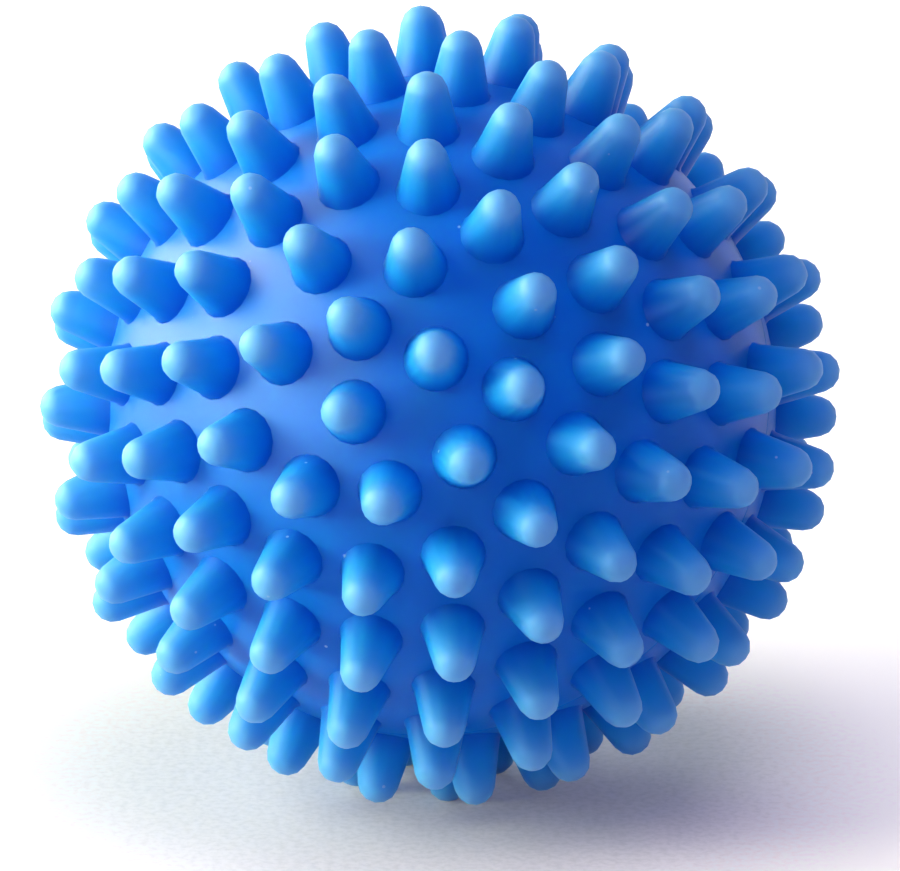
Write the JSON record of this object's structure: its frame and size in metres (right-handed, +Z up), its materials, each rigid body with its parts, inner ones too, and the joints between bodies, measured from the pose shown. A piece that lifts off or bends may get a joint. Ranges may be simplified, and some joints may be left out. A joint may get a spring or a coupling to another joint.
{
  "type": "rubber dryer ball",
  "caption": "Round, hollow laundry ball of soft blue rubber, covered in blunt tapering spikes that part and fluff clothes as it tumbles in a dryer.",
  "frame": {"origin": "the point of the floor straight below the ball's centre, as the ball lies at rest on three spikes", "axes": "+Z up from the floor; +Y away from the front, which is the side seen in the picture; +X to the right of that view. The moulding axis leans about 61 degrees from +Z, towards the front and slightly left"},
  "size_m": [0.0695, 0.0694, 0.0693],
  "materials": {
    "front_rubber": "satin",
    "rear_rubber": "satin",
    "plug_rubber": "satin"
  },
  "bodies": {
    "root": {"front_shell": "front_rubber", "rear_shell": "rear_rubber", "valve_plug": "plug_rubber"}
  },
  "joints": []
}
